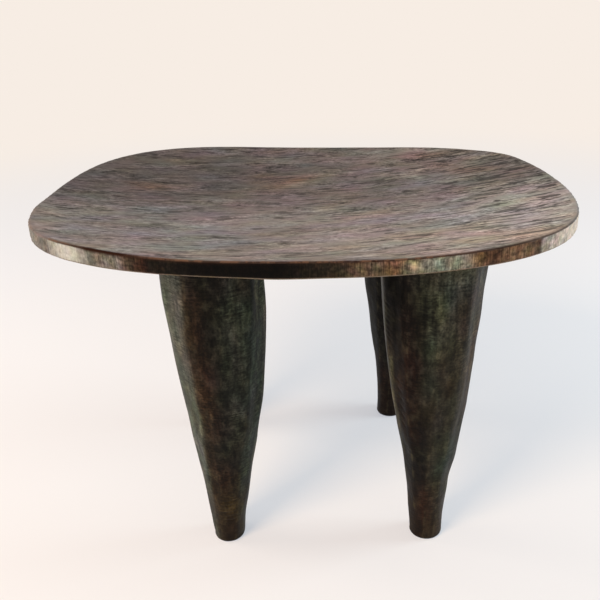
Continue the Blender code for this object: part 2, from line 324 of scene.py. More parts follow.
# Rows of short nicks that a blade left: angle in degrees, lowest and highest in millimetres, how many, half
# length and half width in millimetres, slant in degrees, and depth in millimetres
LEG_NICKS = {
    "leg_front_left": (
        (-144, 158, 186, 5, 4.5, 1.1, 35, 0.5), (-128, 343, 343, 1, 6, 0.9, 4, 0.6),
        (-84, 34, 64, 6, 7, 1.2, 4, 0.5),
    ),
    "leg_front_right": (
        (-163, 262, 302, 7, 4.5, 1.2, -38, 0.7), (-150, 160, 215, 6, 4, 1.2, -40, 0.5),
        (-111, 297, 297, 1, 17, 2, -71, 0.8),
    ),
    "leg_rear_left": ((120, 230, 290, 6, 4.5, 1.2, 35, 0.5),),
    "leg_rear_right": ((30, 180, 250, 6, 4.5, 1.2, -35, 0.5),),
}

# Soft lamps: name, place, size, watts and colour
LAMPS = (
    ("key", (-1.25, -1.3, 1.8), 0.85, 44, (1.0, 0.8, 0.58)),
    ("left", (-1.9, 0.4, 0.75), 1.0, 16, (1.0, 0.97, 0.92)),
    ("right", (1.9, 0.0, 0.9), 0.8, 26, (0.6, 0.82, 1.0)),
)
LAMP_AIM = (0, 0, 0.25)
ROOM_COLOUR = (0.9, 0.95, 1.0, 1)
ROOM_STRENGTH = 0.48

# How much of the floor is plain brightness near the stool and far away, and where it changes
FLOOR_GLOW = (0.49, 1.0)
FLOOR_GLOW_RANGE = (0.6, 2.2)

# Kinds of shader node, and how two colours are mixed
MATH, RANGE, VECTOR = "ShaderNodeMath", "ShaderNodeMapRange", "ShaderNodeVectorMath"
MIX, NOISE, BUMP = "ShaderNodeMix", "ShaderNodeTexNoise", "ShaderNodeBump"
PLACE, MAPPING, RAMP = "ShaderNodeTexCoord", "ShaderNodeMapping", "ShaderNodeValToRGB"
LAY_OVER = {"data_type": "RGBA"}
MULTIPLY = {"data_type": "RGBA", "blend_type": "MULTIPLY"}

# Layers of noise in the seat's and the legs' wood: size along X, Y and Z in millimetres, and detail
SEAT_LAYERS = (
    ("fibre", (11, 2.2, 2.2), 2.0),
    ("grit", (3.6, 3.6, 3.6), 1.0),
    ("pores", (34, 4.2, 4.2), 1.0),
    ("checks", (80, 5.5, 5.5), 0.0),
    ("bands", (60, 9, 9), 2.0),
    ("clouds", (80, 36, 36), 3.0),
    ("worn", (50, 22, 22), 2.0),
    ("tinge", (55, 32, 32), 1.0),
    ("cuts", (1.3, 1.3, 16), 2.0),
    ("blots", (8, 8, 6), 3.0),
    ("flecks", (9, 9, 9), 0.0),
    ("chips", (11, 11, 30), 3.0),
)
LEG_LAYERS = (
    ("bands", (5, 5, 45), 3.0),
    ("mottle", (9, 9, 14), 3.0),
    ("grit", (3, 3, 2.6), 1.0),
    ("tinge", (17, 17, 32), 0.0),
    ("fibre", (11, 11, 1.5), 3.0),
    ("patches", (24, 24, 40), 2.0),
)
COLOURED_LAYERS = ("tinge", "flecks")
DRIFT_SIZE = (150, 60, 60)  # millimetres from one slow bend of the grain to the next
DRIFT = (0, 0.006, 0.006)  # how far the grain wanders


def colour(text):
    """Linear RGB of an sRGB hex value."""
    shares = [int(text[i:i + 2], 16) / 255 for i in (1, 3, 5)]
    return tuple(c / 12.92 if c <= 0.04045 else ((c + 0.055) / 1.055) ** 2.4 for c in shares)


def length(name, default, description):
    """A size in metres."""
    return FloatProperty(name=name, description=description, default=default, unit="LENGTH", precision=4)


def sizes(name, default, description):
    """Three sizes in metres, along X, Y and Z."""
    return FloatVectorProperty(
        name=name, description=description, default=default, subtype="XYZ_LENGTH", unit="LENGTH",
    )


def turn(name, degrees, description):
    """An angle, given in degrees."""
    return FloatProperty(name=name, description=description, default=math.radians(degrees), subtype="ANGLE")


def tint(name, text, description):
    """A colour, given as sRGB hex."""
    rgb = colour(text)
    return FloatVectorProperty(name=name, description=description, default=rgb, subtype="COLOR", min=0, max=1)


class StoolSeat(bpy.types.PropertyGroup):
    """Sizes of the seat"""

    length: length("Length", SEAT_HIGH.x - SEAT_LOW.x, "From end to end, along the grain")
    width: length("Width", SEAT_HIGH.y - SEAT_LOW.y, "From front to back")
    middle_height: length("Middle height", 0.359, "From the floor to the lowest point of the dished top")
    end_rise: length("End rise", 0.0216, "How far the ends rise above the middle of the dish")
    side_rise: length("Side rise", 0.0208, "How far the front and back edges rise above it")
    middle_thickness: length("Middle thickness", 0.0225, "Thickness of the slab in the middle")
    rim_thickness: length("Rim thickness", 0.0156, "Thickness of the slab at the rim")
    top_rounding: length("Top rounding", 0.0020, "Radius of the worn upper arris")
    low_rounding: length("Lower rounding", 0.0016, "Radius of the lower arris")
    rim_flat: length("Rim flat", 0.011, "Width of one cut of the blade across the rim")
    rim_flat_depth: length("Rim flat depth", 0.0004, "How deep such a cut is hollowed")
    mark_size: sizes("Adze mark", (0.046, 0.017, 0.017), "Length, width and height of one adze mark")
    mark_depth: length("Adze mark depth", 0.00055, "How deep the adze marks are hollowed")
    fibre_depth: length("Fibre depth", 0.00022, "How deep the grain is worn between its harder fibres")


class StoolLegs(bpy.types.PropertyGroup):
    """Sizes of the legs"""

    sole_diameter: length("Sole", 0.031, "Diameter of the flat sole")
    foot_diameter: length("Foot", 0.037, "Diameter just above the sole")
    ankle_diameter: length("Ankle", 0.039, "Diameter at the slimmest part")
    shin_diameter: length("Shin", 0.0535, "Diameter a quarter of the way up")
    calf_diameter: length("Calf", 0.076, "Diameter at half height")
    knee_diameter: length("Knee", 0.0975, "Diameter three quarters of the way up")
    shoulder_diameter: length("Shoulder", 0.1095, "Diameter under the seat")
    tenon_diameter: length("Tenon", 0.056, "Diameter of the tenon in the seat")
    foot_height: length("Foot height", 0.005, "Height of the rounded edge of the sole")
    ankle_height: length("Ankle height", 0.034, "Height of the slimmest part")
    shin_height: length("Shin height", 0.092, "Height of the shin")
    calf_height: length("Calf height", 0.158, "Height of the calf")
    knee_height: length("Knee height", 0.242, "Height of the knee")
    flats: IntProperty(name="Flats", description="Flats that the adze leaves round a leg", default=10, min=3)
    flat_strength: FloatProperty(
        name="Flatness", description="0 is round, 1 is flat from ridge to ridge", default=0.75,
        subtype="FACTOR",
    )
    ridge_rounding: turn("Ridge rounding", 5, "How far round the leg a worn ridge is rounded")
    flat_twist: turn("Twist", -20, "How far the flats turn from sole to shoulder")
    mark_size: sizes("Adze mark", (0.017, 0.017, 0.055), "Length, width and height of one adze mark")
    mark_depth: length("Adze mark depth", 0.0009, "How deep the adze marks are hollowed")
    fibre_depth: length("Fibre depth", 0.00018, "How deep the grain is worn between its harder fibres")


class StoolFinish(bpy.types.PropertyGroup):
    """Colours of the wood"""

    top_dark: tint("Top, dark", "#1e1917", "Dark streaks of the worn top")
    # The top's body and pale tones are paler than the same wood on the legs, partly wear and partly painted
    # sheen from the bright room that the top reflects
    top_body_and_sheen: tint("Top, body", "#625955", "Main tone of the worn top")
    top_pale_and_sheen: tint("Top, pale", "#887f79", "Pale fibres of the worn top")
    pore: tint("Pores", "#120d0b", "Open pores and small checks")
    wear: tint("Wear", "#6c5040", "Bare red wood along the crest of the rim")
    wear_dark: tint("Wear, dark", "#26120a", "Red-black wood under the crest")
    # Painted highlight: the lit lower arris of the rim
    low_edge_highlight: tint("Lower arris", "#6a604c", "Rubbed lower arris of the rim")
    leg_body: tint("Legs, body", "#1a1612", "Main tone of the legs and of the seat's underside")
    leg_red: tint("Legs, red", "#271b13", "Red wood where the feet are worn")
    # Partly painted sheen: this grey, added over the mottling, stands in for the soft highlights on the rough
    # legs
    leg_dust_and_sheen: tint("Legs, dust", "#242321", "Grey dust in the wax of the legs")
    leg_bare: tint("Legs, bare", "#57513f", "Bare wood on the legs' ridges")
    wedge: tint("Wedges", "#70533a", "Bare split wood of the wedges")


class StoolStage(bpy.types.PropertyGroup):
    """Floor, light and camera"""

    floor: tint("Floor", "#f8e8d8", "Pale floor")
    shade: tint("Shade", "#eef4ff", "Cool light that the shadows keep")
    backdrop: tint("Backdrop", "#f7ede4", "Pale backdrop beyond the floor")
    camera_place: sizes("Camera", (-0.0546, -0.8650, 0.6375), "Where the camera stands")
    camera_turn: FloatVectorProperty(
        name="Camera turn", description="How the camera is turned",
        default=[math.radians(a) for a in (65.697, 1.696, -4.076)], subtype="EULER",
    )
    lens: FloatProperty(name="Lens", description="Focal length in mm on a 36 mm sensor", default=48.0)
    floor_reach: length("Floor reach", 14.0, "Half the side of the floor")


SETTINGS = {
    "stool_seat": StoolSeat, "stool_legs": StoolLegs, "stool_finish": StoolFinish, "stool_stage": StoolStage,
}


def turned_by(angle, middle):
    """How far an angle lies from another, in degrees, the short way round."""
    return (angle - middle + 180) % 360 - 180


def outline_reach(angle):
    """Distance from the middle of the seat to its rim, on an outline about 2 long and 2 wide."""
    near = np.full_like(angle, 0.5)
    far = np.full_like(angle, 2.0)
    for _ in range(40):
        middle = (near + far) / 2
        along = np.abs(middle * np.cos(angle)) ** END_SQUARENESS
        across = np.abs(middle * np.sin(angle)) ** SIDE_SQUARENESS
        outside = along + across > 1
        far = np.where(outside, middle, far)
        near = np.where(outside, near, middle)
    return near * (1 + sum(c * np.cos(n * angle) + s * np.sin(n * angle) for n, c, s in OUTLINE_WAVES))


def outline_bumps(angle):
    """How far the outline stands out where the carver left it full."""
    return 1 + swell(np.degrees(angle), OUTLINE_BUMPS)


def outline_frame():
    """Middle and half size of that outline along its two axes."""
    angle = np.arange(OUTLINE_STEPS) * 2 * np.pi / OUTLINE_STEPS
    points = outline_reach(angle) * np.array((np.cos(angle), np.sin(angle)))
    return (points.max(1) + points.min(1)) / 2, (points.max(1) - points.min(1)) / 2


OUTLINE_MIDDLE, OUTLINE_HALF = outline_frame()


def seat_place(seat, angle, share):
    """X and Y of a point of the seat, by its angle on the outline and its share of the way out to the rim."""
    reach = outline_reach(angle) * outline_bumps(angle) * share
    x = (reach * np.cos(angle) - OUTLINE_MIDDLE[0]) / OUTLINE_HALF[0] * seat.length / 2
    y = (reach * np.sin(angle) - OUTLINE_MIDDLE[1]) / OUTLINE_HALF[1] * seat.width / 2
    return x, y


def outline_place(seat, x, y):
    """Where a point of the seat lies on the outline about 2 long and 2 wide."""
    u = x / (seat.length / 2) * OUTLINE_HALF[0] + OUTLINE_MIDDLE[0]
    v = y / (seat.width / 2) * OUTLINE_HALF[1] + OUTLINE_MIDDLE[1]
    return u, v


def rim_share(seat, x, y):
    """How far out a point of the seat lies: 0 in the middle and 1 at the rim."""
    u, v = outline_place(seat, x, y)
    angle = np.arctan2(v, u)
    return np.hypot(u, v) / (outline_reach(angle) * outline_bumps(angle))


def seat_top(seat, x, y):
    """Height of the dished top: a shallow bowl whose rim is nearly level."""
    along, across = 2 * x / seat.length, 2 * y / seat.width
    bowl = seat.middle_height + seat.end_rise * along**2 + seat.side_rise * across**2
    return bowl + swell(rim_angle(seat, x, y), RIM_HIGH) * rim_share(seat, x, y) ** 10


def rim_angle(seat, x, y):
    """Angle round the outline, in degrees."""
    u, v = outline_place(seat, x, y)
    return np.degrees(np.arctan2(v, u))


def swell(angle, places):
    """Sum of soft swells round the rim, each by its angle, its half angle and its height."""
    return sum(much * np.exp(-(turned_by(angle, at) / wide) ** 2) for at, wide, much in places)


def seat_underside(seat, x, y):
    """Height of the bellied underside: the slab thins from the middle to the rim."""
    share = rim_share(seat, x, y)
    thinning = (seat.middle_thickness - seat.rim_thickness) * share**2
    fuller = swell(rim_angle(seat, x, y), RIM_FULL) * share**8
    return seat_top(seat, x, y) - seat.middle_thickness + thinning - fuller


def smooth_step(low, high, value):
    """0 at low, 1 at high, and a soft rise between them."""
    t = np.clip((value - low) / (high - low), 0, 1)
    return t * t * (3 - 2 * t)


def blade_cuts(along, width, seed):
    """Hollows of cuts set side by side along a closed line, 0 at each ridge and 1 in each hollow."""
    total = along[-1] + along[1] - along[0]
    random = np.random.default_rng(seed)
    edges = np.cumsum(random.uniform(0.55, 1.45, int(total / width)))
    edges = np.concatenate(([0], edges / edges[-1] * total))
    cut = np.searchsorted(edges, along, side="right") - 1
    t = (along - edges[cut]) / (edges[cut + 1] - edges[cut])
    return 4 * t * (1 - t) * random.uniform(0.4, 1, len(edges))[cut]


def new_mesh(name, points, faces):
    """A mesh of points and faces."""
    mesh = bpy.data.meshes.new(name)
    mesh.from_pydata(points, [], faces)
    mesh.validate()
    mesh.update()
    return mesh


def strip(upper, lower):
    """Faces between two closed rows of the same length, facing outwards where the rows run anticlockwise."""
    return np.stack((upper, lower, np.roll(lower, -1), np.roll(upper, -1)), axis=1).tolist()


def seat_mesh(seat):
    """The slab: dished top, rim cut with a blade, rounded arrises and bellied underside."""
    a, b = np.meshgrid(np.linspace(-1, 1, SEAT_COLUMNS + 1), np.linspace(-1, 1, SEAT_ROWS + 1), indexing="ij")
    u, v = a * np.sqrt(1 - b**2 / 2), b * np.sqrt(1 - a**2 / 2)
    x, y = seat_place(seat, np.arctan2(v, u).ravel(), np.hypot(u, v).ravel() * FLAT_SHARE)
    points = [np.stack((x, y, seat_top(seat, x, y)), axis=1)]
    points[0][:, 2] -= pit_depths(points[0]) / 1000
    index = np.arange(a.size).reshape(a.shape)
    corners = (index[:-1, :-1], index[1:, :-1], index[1:, 1:], index[:-1, 1:])
    faces = np.stack(corners, axis=-1).reshape(-1, 4).tolist()
    loop = np.concatenate((index[:-1, 0], index[-1, :-1], index[:0:-1, -1], index[0, :0:-1]))
    angle = np.arctan2(v, u).ravel()[loop]

    rim_x, rim_y = seat_place(seat, angle, 1.0)
    along = np.concatenate(([0], np.cumsum(np.hypot(np.diff(rim_x), np.diff(rim_y)))))
    hollow = blade_cuts(along, seat.rim_flat, RIM_SEED) * seat.rim_flat_depth / (seat.width / 2)
    soft = 1 - FLAT_SHARE
    rows = []
    for bend in np.linspace(0, np.pi / 2, ARRIS_STEPS + 1)[1:]:
        depth = seat.top_rounding * (1 - math.cos(bend))
        rows.append((FLAT_SHARE + soft * math.sin(bend), depth, math.sin(bend)))
    for depth in np.linspace(seat.top_rounding, seat.rim_thickness - seat.low_rounding, SIDE_STEPS + 1)[1:]:
        rows.append((1.0, depth, 1.0))
    for bend in np.linspace(0, np.pi / 2, ARRIS_STEPS + 1)[1:]:
        depth = seat.rim_thickness - seat.low_rounding * (1 - math.sin(bend))
        rows.append((1 - soft * (1 - math.cos(bend)), depth, math.cos(bend)))
    upper = loop
    for share, depth, cut in rows:
        x, y = seat_place(seat, angle, share - hollow * cut)
        fuller = depth * (1 + swell(np.degrees(angle), RIM_FULL) / seat.rim_thickness)
        points.append(np.stack((x, y, seat_top(seat, x, y) - fuller), axis=1))
        lower = np.arange(len(loop)) + sum(map(len, points[:-1]))
        faces += strip(upper, lower)
        upper = lower

    for share in UNDER_SHARES:
        x, y = seat_place(seat, angle[::UNDER_SKIP], share)
        points.append(np.stack((x, y, seat_underside(seat, x, y)), axis=1))
        lower = np.arange(len(x)) + sum(map(len, points[:-1]))
        if len(upper) == len(lower):
            faces += strip(upper, lower)
        else:
            fine = [np.roll(upper, -i)[::UNDER_SKIP] for i in range(UNDER_SKIP, 0, -1)]
            faces += np.stack((upper[::UNDER_SKIP], lower, np.roll(lower, -1), *fine), axis=1).tolist()
        upper = lower
    faces.append(upper[::-1].tolist())
    return new_mesh("carved_seat", np.concatenate(points), faces)


def blend(angle, stops):
    """Colour between named tones that stand at angles in degrees."""
    tones = np.array([colour(TONES[name]) for _, name in stops])
    return np.stack([np.interp(angle, [at for at, _ in stops], channel) for channel in tones.T], axis=1)


def front_sheen(place):
    """How far the top gets its painted sheen at each point: none behind the middle, and all of it in front of
    it.
    """
    return smooth_step(FRONT_SHEEN_FROM, FRONT_SHEEN_TO, place[:, 1])


def spot(place, middle, half):
    """How strong a soft oval spot of the top is at each point, with its sizes in millimetres."""
    (x, y), (along, across) = middle, half
    reach = np.hypot((place[:, 0] * 1000 - x) / along, (place[:, 1] * 1000 - y) / across)
    return np.exp(-reach**2)


def stain_and_sheen_tints(place):
    """What the stains and the painted sheen, shade and reflection do to the top's colour at each point."""
    tints = np.repeat(1 + FRONT_SHEEN * front_sheen(place)[:, None], 3, axis=1)
    for middle, half, change in TOP_STAINS_AND_SHEEN:
        tints *= 1 + spot(place, middle, half)[:, None] * (np.array(change) - 1)
    return tints


def pit_depths(place):
    """Depth of the pits and checks at each point of the top, in millimetres."""
    depth = np.zeros(len(place))
    for middle, half, deep in TOP_PITS:
        depth = np.maximum(depth, deep * spot(place, middle, half))
    return depth


def axis_shift(leg, share):
    """How far a leg's axis lies from the plumb line over its foot, at a share of the leg's height."""
    bow = leg["bow"] * 4 * share * (1 - share)
    return np.array((leg["lean"][0] * share + bow, leg["lean"][1] * share))


def leg_top(leg):
    """The middle of a leg's top, in plan."""
    return np.array(leg["foot"]) + axis_shift(leg, 1.0)


def socket_floor(seat, leg):
    """The middle of the socket's blind end, straight over the top of the leg."""
    x, y = leg_top(leg)
    return Vector((x, y, seat_top(seat, x, y) - SOCKET_ROOF))


def profile_radius(legs, height, shoulder_height):
    """Leg radius over its ridges: a smooth curve through the named diameters, rounded off at the sole."""
    parts = ("foot", "ankle", "shin", "calf", "knee")
    at = np.array([getattr(legs, f"{part}_height") for part in parts] + [shoulder_height])
    wide = np.array([getattr(legs, f"{part}_diameter") for part in (*parts, "shoulder")])
    ends = np.arange(len(at))
    before, after = np.maximum(ends - 1, 0), np.minimum(ends + 1, len(at) - 1)
    slope = (wide[after] - wide[before]) / (at[after] - at[before])
    i = np.clip(np.searchsorted(at, height, side="left") - 1, 0, len(at) - 2)
    span = at[i + 1] - at[i]
    t = np.clip((height - at[i]) / span, 0, 1)
    diameter = (
        (1 + 2 * t) * (1 - t) ** 2 * wide[i]
        + t * (1 - t) ** 2 * span * slope[i]
        + t**2 * (3 - 2 * t) * wide[i + 1]
        + t**2 * (t - 1) * span * slope[i + 1]
    )
    under = np.clip(1 - height / legs.foot_height, 0, 1)
    rounding = (legs.foot_diameter - legs.sole_diameter) * (1 - np.sqrt(1 - under**2))
    return (diameter - rounding) / 2


def leg_relief(name, angle, height, reach):
    """How far the swells stand out and the nicks cut in, in millimetres."""
    relief = np.zeros_like(reach)
    for (middle, wide), (level, tall), much in LEG_SWELLS[name]:
        relief += much * np.exp(-(turned_by(angle, middle) / wide) ** 2 - ((height - level) / tall) ** 2)
    for middle, low, high, count, long, wide, slant, deep in LEG_NICKS[name]:
        cosine, sine = math.cos(math.radians(slant)), math.sin(math.radians(slant))
        around = np.radians(turned_by(angle, middle)) * reach
        for level in np.linspace(low, high, count):
            along = around * cosine + (height - level) * sine
            across = (height - level) * cosine - around * sine
            relief -= deep * np.exp(-(along / long) ** 2 - (across / wide) ** 2)
    return relief


def leg_paint(seat, legs, leg, name, place):
    """Tone of the wood, with painted highlight and shade on the front legs, closeness to a ridge and share of
    mottling at each point of a leg.
    """
    share = place[:, 2] / seat_underside(seat, *leg_top(leg))
    shift_x, shift_y = axis_shift(leg, share)
    x, y = place[:, 0] - leg["foot"][0] - shift_x, place[:, 1] - leg["foot"][1] - shift_y
    angle = np.degrees(np.arctan2(y, x))
    height = place[:, 2] * 1000
    step = 360 / legs.flats
    off_middle = (angle + leg["turn"] + math.degrees(legs.flat_twist) * share) % step - step / 2
    sway = 3 * np.sin(height / 31 + leg["turn"]) + 2 * np.sin(height / 12 + 2 * leg["turn"])
    held = FLAT_TONE * step / (2 * np.pi) * np.sin(np.radians(off_middle) * legs.flats)
    tone = blend(turned_by(angle + sway - held, 0), LEG_TONES_AND_LIGHT[name])
    for (middle, level), (wide, tall), patch, strength in LEG_PATCHES[name]:
        reach = np.hypot(turned_by(angle + sway, middle) / wide, (height - level) / tall)
        tone += (strength * np.exp(-reach**2))[:, None] * (np.array(colour(TONES[patch])) - tone)
    off_ridge = np.radians(step / 2 - np.abs(off_middle)) * profile_radius(legs, place[:, 2], SHOULDER_LEVEL)
    mottled = np.ones_like(height)
    if name in LEG_CALM:
        (middle, level), (wide, tall), gone = LEG_CALM[name]
        mottled -= gone * np.exp(-(turned_by(angle, middle) / wide) ** 4 - ((height - level) / tall) ** 4)
    return tone, np.exp(-(off_ridge / RIDGE_WEAR) ** 2), mottled


def leg_mesh(seat, legs, leg, name):
    """A leg and its tenon: ten soft flats that twist up a leaning taper, scribed to the seat's underside."""
    floor = socket_floor(seat, leg)
    shoulder_height = float(seat_underside(seat, floor.x, floor.y)) - FIT_GAP
    angle = np.arange(LEG_SIDES) * 2 * np.pi / LEG_SIDES
    foot = np.linspace(0, legs.foot_height, FOOT_RINGS, endpoint=False)
    height = np.concatenate((foot, np.linspace(legs.foot_height, shoulder_height, LEG_RINGS)))[:, None]
    share = height / shoulder_height
    step = 2 * np.pi / legs.flats
    off_middle = (angle + math.radians(leg["turn"]) + legs.flat_twist * share) % step - step / 2
    off_ridge = np.hypot(step / 2 - np.abs(off_middle), legs.ridge_rounding) - legs.ridge_rounding
    strength = legs.flat_strength * (FOOT_FLATNESS + (1 - FOOT_FLATNESS) * smooth_step(*FLATS_FADE, height))
    flat = 1 - strength * (1 - math.cos(step / 2) / np.cos(step / 2 - off_ridge))
    reach = profile_radius(legs, height, shoulder_height) * flat
    reach = reach + leg_relief(name, np.degrees(angle), height * 1000, reach * 1000) / 1000
    shift_x, shift_y = axis_shift(leg, share)
    x = leg["foot"][0] + shift_x + reach * np.cos(angle)
    y = leg["foot"][1] + shift_y + reach * np.sin(angle)
    scribe = seat_underside(seat, x[-1], y[-1]) - FIT_GAP - shoulder_height
    z = height + scribe * smooth_step(SCRIBE_FROM, 1.0, share)
    rings = list(np.stack((x, y, z), axis=-1))

    tenon = legs.tenon_diameter / 2
    top = floor.z - FIT_GAP
    for radius, level in (
        (tenon + SHOULDER_STEP, None), (tenon, None), (tenon, top - TENON_CHAMFER),
        (tenon - TENON_CHAMFER, top),
    ):
        x, y = floor.x + radius * np.cos(angle), floor.y + radius * np.sin(angle)
        z = seat_underside(seat, x, y) - FIT_GAP if level is None else np.full_like(x, level)
        rings.append(np.stack((x, y, z), axis=-1))
    index = np.arange(len(rings) * LEG_SIDES).reshape(len(rings), LEG_SIDES)
    faces = [face for lower, upper in zip(index, index[1:]) for face in strip(upper, lower)]
    faces += [index[0, ::-1].tolist(), index[-1].tolist()]
    return new_mesh(name, np.concatenate(rings), faces)


def add_piece(name, mesh):
    """Puts a mesh into the scene."""
    piece = bpy.data.objects.new(name, mesh)
    bpy.context.scene.collection.objects.link(piece)
    return piece


def settle(piece):
    """Turns a piece and its modifiers into a plain mesh."""
    graph = bpy.context.evaluated_depsgraph_get()
    shown = piece.evaluated_get(graph)
    mesh = bpy.data.meshes.new_from_object(shown, preserve_all_data_layers=True, depsgraph=graph)
    mesh.name = piece.name
    piece.modifiers.clear()
    piece.data = mesh
    mesh.shade_smooth()
    mesh.set_sharp_from_angle(angle=SHARP_EDGE)
    return mesh


def cut(piece, cutters):
    """Takes the cutters' solids out of a piece."""
    blocks = [add_piece("cutter", cutter) for cutter in cutters]
    for block in blocks:
        boolean = piece.modifiers.new("cut", "BOOLEAN")
        boolean.operation = "DIFFERENCE"
        boolean.solver = "MANIFOLD"
        boolean.object = block
    settle(piece)
    for block in blocks:
        bpy.data.objects.remove(block)


def solid_mesh(name, builder, place):
    """A cutter's mesh, moved to its place."""
    bmesh.ops.translate(builder, verts=builder.verts, vec=place)
    bmesh.ops.recalc_face_normals(builder, faces=builder.faces)
    mesh = bpy.data.meshes.new(name)
    builder.to_mesh(mesh)
    builder.free()
    return mesh


def socket_cutter(seat, legs, leg):
    """The bore of a blind socket."""
    bore = bmesh.new()
    radius = legs.tenon_diameter / 2 + FIT_GAP
    depth = seat.middle_thickness * 3
    bmesh.ops.create_cone(
        bore, cap_ends=True, segments=SOCKET_SIDES, depth=depth, radius1=radius, radius2=radius,
    )
    return solid_mesh("socket", bore, socket_floor(seat, leg) - Vector((0, 0, depth / 2)))


def kerf_cutter(seat, legs, leg):
    """The tapered slot that the wedge spreads, sawn across the seat's grain."""
    kerf = bmesh.new()
    bmesh.ops.create_cube(kerf, size=1.0)
    mouth, bottom = KERF_ENDS
    taper = (mouth - bottom) / WEDGE_HEIGHT
    for corner in kerf.verts:
        up = corner.co.z > 0
        corner.co.x *= mouth + taper * CUT_PAST if up else bottom
        corner.co.y *= legs.tenon_diameter + CUT_PAST
        corner.co.z = CUT_PAST if up else -WEDGE_HEIGHT - FIT_GAP
    return solid_mesh("kerf", kerf, socket_floor(seat, leg) - Vector((0, 0, FIT_GAP)))


def points_of(mesh):
    """Places and normals of a mesh's points."""
    place = np.empty(len(mesh.vertices) * 3, np.float32)
    normal = np.empty_like(place)
    mesh.vertices.foreach_get("co", place)
    mesh.vertex_normals.foreach_get("vector", normal)
    return place.reshape(-1, 3).astype(float), normal.reshape(-1, 3).astype(float)


def paint(mesh, name, values):
    """Stores one number or one colour for each point."""
    values = np.asarray(values, np.float32)
    if values.ndim == 1:
        mesh.attributes.new(name, "FLOAT", "POINT").data.foreach_set("value", values)
    else:
        rgba = np.concatenate((values, np.ones((len(values), 1), np.float32)), axis=1)
        mesh.attributes.new(name, "FLOAT_COLOR", "POINT").data.foreach_set("color", rgba.ravel())


def add(tree, kind, values=None, stops=None, **settings):
    """Adds a node with its settings, ramp colours and each input's value or link, and gives its outputs."""
    node = tree.nodes.new(kind)
    for key, value in settings.items():
        setattr(node, key, value)
    if stops:
        ramp = node.color_ramp.elements
        while len(ramp) < len(stops):
            ramp.new(0.5)
        for element, (position, rgb) in zip(ramp, stops):
            element.position = position
            element.color = (*rgb, 1)
    for key, value in (values or {}).items():
        if isinstance(value, bpy.types.NodeSocket):
            tree.links.new(value, node.inputs[key])
        else:
            node.inputs[key].default_value = value
    return node.outputs


def carving_tree():
    """Hollows a surface with overlapping adze marks and wears its grain, and keeps where the ridges are."""
    tree = bpy.data.node_groups.new("adze_carving", "GeometryNodeTree")
    tree.is_modifier = True
    tree.interface.new_socket("Geometry", in_out="OUTPUT", socket_type="NodeSocketGeometry")
    for name, kind in (
        ("Geometry", "NodeSocketGeometry"),
        ("Mark Size", "NodeSocketVector"),
        ("Mark Depth", "NodeSocketFloat"),
        ("Fibre Size", "NodeSocketVector"),
        ("Fibre Depth", "NodeSocketFloat"),
        ("Seed", "NodeSocketFloat"),
        ("Wood", "NodeSocketMaterial"),
    ):
        tree.interface.new_socket(name, in_out="INPUT", socket_type=kind)
    given = add(tree, "NodeGroupInput")
    place = add(tree, "GeometryNodeInputPosition")[0]
    keep = add(tree, "GeometryNodeInputNamedAttribute", {"Name": "carve"}, data_type="FLOAT")[0]
    fields = {}
    for name in ("Mark", "Fibre"):
        cell = add(tree, VECTOR, {0: place, 1: given[f"{name} Size"]}, operation="DIVIDE")[0]
        fields[name] = add(tree, VECTOR, {0: cell, 1: given["Seed"]}, operation="ADD")[0]
    marks = add(tree, "ShaderNodeTexVoronoi", {"Vector": fields["Mark"], "Scale": 1.0, "Smoothness": 0.25},
                feature="SMOOTH_F1")["Distance"]
    ridge = add(tree, MATH, {0: marks, 1: 1.6}, operation="MULTIPLY", use_clamp=True)[0]
    hollow = add(tree, MATH, {0: ridge, 1: ridge}, operation="MULTIPLY")[0]
    hollow = add(tree, MATH, {0: hollow, 1: 1.0}, operation="SUBTRACT")[0]
    hollow = add(tree, MATH, {0: hollow, 1: given["Mark Depth"]}, operation="MULTIPLY")[0]
    fibre = add(tree, NOISE, {"Vector": fields["Fibre"], "Scale": 1.0, "Detail": 2.0})[0]
    fibre = add(tree, MATH, {0: fibre, 1: 1.0}, operation="SUBTRACT")[0]
    depth = add(tree, MATH, {0: fibre, 1: given["Fibre Depth"], 2: hollow}, operation="MULTIPLY_ADD")[0]
    depth = add(tree, MATH, {0: depth, 1: keep}, operation="MULTIPLY")[0]
    normal = add(tree, "GeometryNodeInputNormal")[0]
    inwards = add(tree, VECTOR, {0: normal, "Scale": depth}, operation="SCALE")[0]
    kept = add(tree, "GeometryNodeStoreNamedAttribute", {
        "Geometry": given["Geometry"], "Name": "ridge", "Value": ridge,
    }, data_type="FLOAT", domain="POINT")[0]
    carved = add(tree, "GeometryNodeSetPosition", {"Geometry": kept, "Offset": inwards})[0]
    whole = add(tree, "GeometryNodeRealizeInstances", {"Geometry": carved})[0]
    finished = add(tree, "GeometryNodeSetMaterial", {"Geometry": whole, "Material": given["Wood"]})[0]
    add(tree, "NodeGroupOutput", {"Geometry": finished})
    return tree


def carve(piece, keep, inputs):
    """Runs the adze over a piece, as far as keep lets it at each point."""
    paint(piece.data, "carve", keep)
    tree = bpy.data.node_groups.get("adze_carving") or carving_tree()
    modifier = piece.modifiers.new("adze", "NODES")
    modifier.node_group = tree
    for socket in tree.interface.items_tree:
        if socket.in_out == "INPUT" and socket.name in inputs:
            modifier[socket.identifier] = inputs[socket.name]
    return settle(piece)


def new_finish(name):
    """A material, its nodes and its shader."""
    material = bpy.data.materials.new(name)
    material.use_nodes = True
    return material, material.node_tree, material.node_tree.nodes["Principled BSDF"]


